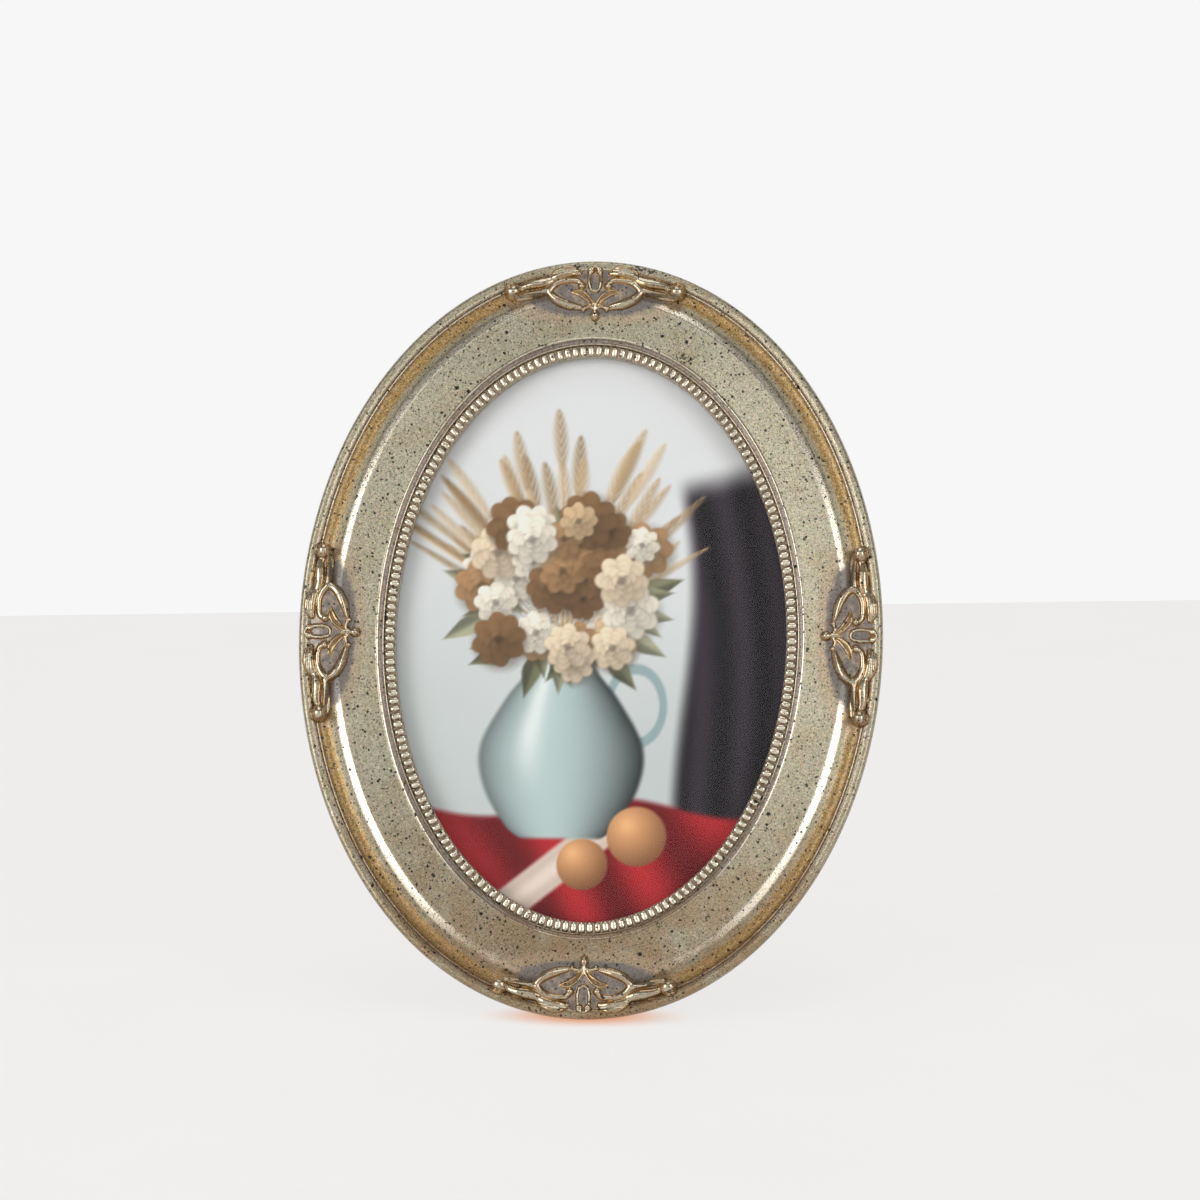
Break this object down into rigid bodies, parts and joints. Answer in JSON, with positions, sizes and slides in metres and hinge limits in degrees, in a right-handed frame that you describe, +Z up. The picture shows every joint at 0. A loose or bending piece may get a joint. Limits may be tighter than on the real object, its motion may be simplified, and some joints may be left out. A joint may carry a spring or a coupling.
{
  "type": "oval picture frame",
  "caption": "Oval table-top picture frame with a beaded sight edge, scroll ornaments, glass, flocked back, hinged easel leg, turn buttons and a hanging ring.",
  "frame": {"origin": "middle of the small flat under the frame's lower edge, where it rests on the table", "axes": "+Z up, -Y towards the viewer that the picture faces, +X to that viewer's right"},
  "size_m": [0.1766, 0.0899, 0.223],
  "materials": {
    "antique_champagne_paint": "satin metallic champagne paint over cast resin, speckled, with golden brown and grey wash in the recesses",
    "glass": "clear polished",
    "printed_paper": "semi-matt print",
    "grey_card": "raw",
    "hardboard": "pressed fibre",
    "black_flock": "short flock pile",
    "nickel_plate": "bright nickel plate",
    "zinc_plate": "zinc plate"
  },
  "bodies": {
    "frame": {"frame_moulding": "antique_champagne_paint", "sight_beading": "antique_champagne_paint", "ornament_top": "antique_champagne_paint", "ornament_bottom": "antique_champagne_paint", "ornament_left": "antique_champagne_paint", "ornament_right": "antique_champagne_paint", "glass_pane": "glass", "picture_print": "printed_paper", "backing_card": "grey_card", "back_board": "hardboard", "back_cover": "black_flock", "hinge_fixed_leaf": "nickel_plate", "hinge_pin": "nickel_plate", "hinge_board_rivets": "nickel_plate", "turn_button_screws": "zinc_plate", "hanger_strap": "nickel_plate", "hanger_rivet": "nickel_plate"},
    "leg": {"easel_leg": "hardboard", "easel_leg_cover": "black_flock", "hinge_moving_leaf": "nickel_plate", "hinge_leg_rivets": "nickel_plate"},
    "turn_button_upper_right": {"turn_button_upper_right": "zinc_plate"},
    "turn_button_upper_left": {"turn_button_upper_left": "zinc_plate"},
    "turn_button_lower_left": {"turn_button_lower_left": "zinc_plate"},
    "turn_button_lower_right": {"turn_button_lower_right": "zinc_plate"},
    "ring": {"hanger_ring": "nickel_plate"}
  },
  "joints": [
    {"name": "leg_hinge", "type": "hinge", "parent": "frame", "child": "leg", "pos_m": [0, 0.0432, 0.1361], "axis": [1, 0, 0], "range_deg": [-28, 0]},
    {"name": "ring_swing", "type": "hinge", "parent": "frame", "child": "ring", "pos_m": [0, 0.05176, 0.16901], "axis": [1, 0, 0], "range_deg": [-16, 164]},
    {"name": "turn_button_upper_right_swivel", "type": "hinge", "parent": "frame", "child": "turn_button_upper_right", "pos_m": [0.0536, 0.05039, 0.16878], "axis": [0, 0.9613, -0.2756], "continuous": true},
    {"name": "turn_button_upper_left_swivel", "type": "hinge", "parent": "frame", "child": "turn_button_upper_left", "pos_m": [-0.05359, 0.0504, 0.1688], "axis": [0, 0.9613, -0.2756], "continuous": true},
    {"name": "turn_button_lower_left_swivel", "type": "hinge", "parent": "frame", "child": "turn_button_lower_left", "pos_m": [-0.05361, 0.01544, 0.04691], "axis": [0, 0.9613, -0.2756], "continuous": true},
    {"name": "turn_button_lower_right_swivel", "type": "hinge", "parent": "frame", "child": "turn_button_lower_right", "pos_m": [0.05358, 0.01543, 0.04686], "axis": [0, 0.9613, -0.2756], "continuous": true}
  ]
}
